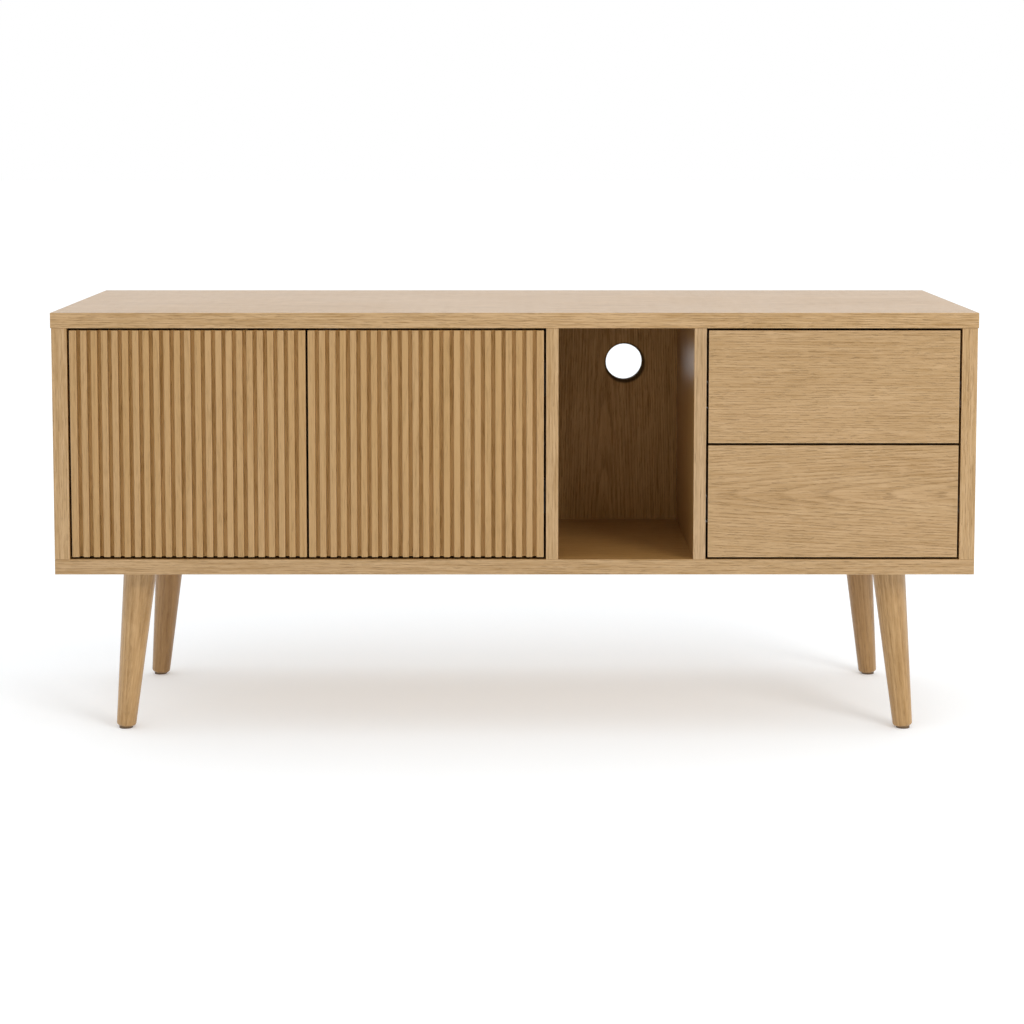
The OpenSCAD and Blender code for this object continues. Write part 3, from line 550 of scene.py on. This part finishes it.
def plainMaterial(name, colour, roughness, metallic, stretchBy=(1, 1, 1)):
    material, tree, shader = newMaterial(name)
    spot = tree.nodes.new("ShaderNodeTexCoord").outputs["Object"]
    marks = groupNode(tree, handling, {"Vector": spot, "Scale": plainFeel["marksScale"]})["Marks"]
    brushed = noise(tree, stretch(tree, spot, stretchBy), plainFeel["brushScale"], 3, 0.6)
    feed(tree, shader.inputs["Base Color"], mixColour(
        tree, marks, shade(colour, 1 - plainFeel["spread"]), shade(colour, 1 + plainFeel["spread"])))
    feed(tree, shader.inputs["Roughness"], total(
        tree, roughness, swing(tree, brushed, plainFeel["brushRough"]),
        calc(tree, "MULTIPLY", marks, plainFeel["marksRough"])))
    shader.inputs["Metallic"].default_value = metallic
    bump = addNode(tree, "ShaderNodeBump", {
        "Strength": 1.0, "Distance": plainFeel["bump"], "Height": brushed})
    feed(tree, shader.inputs["Normal"], bump.outputs[0])
    return material


fittings = {
    "zincPlated": (
        dict(colour=(0.62, 0.63, 0.64), roughness=0.34, metallic=1.0),
        ("cam_discs", "cam_bolts", "back_screws", "leg_plates", "leg_bolts", "leg_plate_screws",
         "latch_screws", "slide_screws", "shelf_pins", "door_left_strike", "door_right_strike",
         "drawer_upper_fasteners", "drawer_lower_fasteners")),
    "blackNickel": (
        dict(colour=(0.10, 0.10, 0.105), roughness=0.36, metallic=1.0),
        ("hinge_arms", "hinge_plates", "hinge_plate_screws", "door_left_hinge_cups", "door_right_hinge_cups",
         "door_left_cup_screws", "door_right_cup_screws")),
    "slideSteel": (
        dict(colour=(0.66, 0.67, 0.69), roughness=0.30, metallic=1.0, stretchBy=(1, 0.05, 1)),
        ("slide_rails_upper", "slide_rails_lower", "drawer_upper_rails", "drawer_lower_rails",
         "drawer_upper_middle_rails", "drawer_lower_middle_rails")),
    "beechDowels": (dict(colour=(0.60, 0.42, 0.26), roughness=0.6, metallic=0.0), ("wood_dowels",)),
    "brownPlastic": (dict(colour=(0.15, 0.095, 0.05), roughness=0.55, metallic=0.0), ("foot_glides",)),
    "darkPlastic": (
        dict(colour=(0.02, 0.02, 0.022), roughness=0.45, metallic=0.0),
        ("door_left_plunger", "door_right_plunger", "drawer_upper_plunger", "drawer_lower_plunger")),
    "greyPlastic": (dict(colour=(0.30, 0.31, 0.33), roughness=0.5, metallic=0.0), ("latch_housings",)),
}
for name, (values, members) in fittings.items():
    material = plainMaterial(name, **values)
    for node in members:
        putOn(node, material)
print("fittings finished")


studio = {
    "white": 1.0,                      # wall behind the piece
    "front": 0.50,                     # room in front of it
    "turn": (-0.5, 0.2),               # where the one goes over into the other
    "above": 1.16,                     # ceiling
    "rise": (0.05, 0.95),              # and where the walls go over into it
    "seen": 1.0,                       # backdrop as the camera sees it
    "floorSize": 60,
    "floorGlow": 0.200,
    "floorRough": 0.9,
    "floorWhite": (0.825, 0.855, 0.880, 1),
    "key": 50,
    "keySize": 1.4,
    "keyFrom": (2.3, -2.9, 2.2),
    "keyAt": (0, 0, 0.4),
}


def makeFloor():
    bpy.ops.mesh.primitive_plane_add(size=studio["floorSize"], location=(0, 0, 0))
    floor = bpy.context.object
    floor.name = "floor"
    material, tree, shader = newMaterial("paleFloor")
    shader.inputs["Base Color"].default_value = studio["floorWhite"]
    shader.inputs["Roughness"].default_value = studio["floorRough"]
    shader.inputs["Specular IOR Level"].default_value = 0.0
    shader.inputs["Emission Color"].default_value = (1, 1, 1, 1)
    shader.inputs["Emission Strength"].default_value = studio["floorGlow"]
    floor.data.materials.append(material)


def makeWorld():
    # the room is brightest above and behind the piece, softer in front of it
    world = bpy.data.worlds.new("studioWhite")
    bpy.context.scene.world = world
    world.use_nodes = True
    tree = world.node_tree
    background = tree.nodes["Background"]
    background.inputs[0].default_value = (1, 1, 1, 1)

    def goOver(share, start, goal):
        return calc(tree, "ADD", start, calc(tree, "MULTIPLY", share, calc(tree, "SUBTRACT", goal, start)))

    part = splitParts(tree, tree.nodes.new("ShaderNodeTexCoord").outputs["Generated"])
    wall = smoothStep(tree, part[1], *studio["turn"], studio["front"], studio["white"])
    light = goOver(smoothStep(tree, part[2], *studio["rise"]), wall, studio["above"])
    # the camera itself sees an even white behind the piece
    seen = tree.nodes.new("ShaderNodeLightPath").outputs["Is Camera Ray"]
    feed(tree, background.inputs[1], goOver(seen, light, studio["seen"]))


def makeKey():
    bpy.ops.object.light_add(type="AREA", location=studio["keyFrom"])
    key = bpy.context.object
    key.name = "softKey"
    key.data.energy = studio["key"]
    key.data.size = studio["keySize"]
    key.visible_camera = False
    key.visible_glossy = False         # no glare on the lacquer
    back = Vector(studio["keyFrom"]) - Vector(studio["keyAt"])
    key.rotation_euler = back.to_track_quat("Z", "Y").to_euler()


view = {
    "place": (-0.0033, -3.077, 0.7995),
    "pitch": 4.694,                    # degrees below level
    "lens": 78.488,
    "sensor": 36,
    "shift": -0.197,
}


def makeCamera():
    bpy.ops.object.camera_add(location=view["place"], rotation=(math.radians(90 - view["pitch"]), 0, 0))
    camera = bpy.context.object
    camera.data.sensor_width = view["sensor"]
    camera.data.lens = view["lens"]
    camera.data.shift_y = view["shift"]
    bpy.context.scene.camera = camera


makeFloor()
makeWorld()
makeKey()
makeCamera()
bpy.context.scene.view_settings.view_transform = "Standard"
print("studio ready")
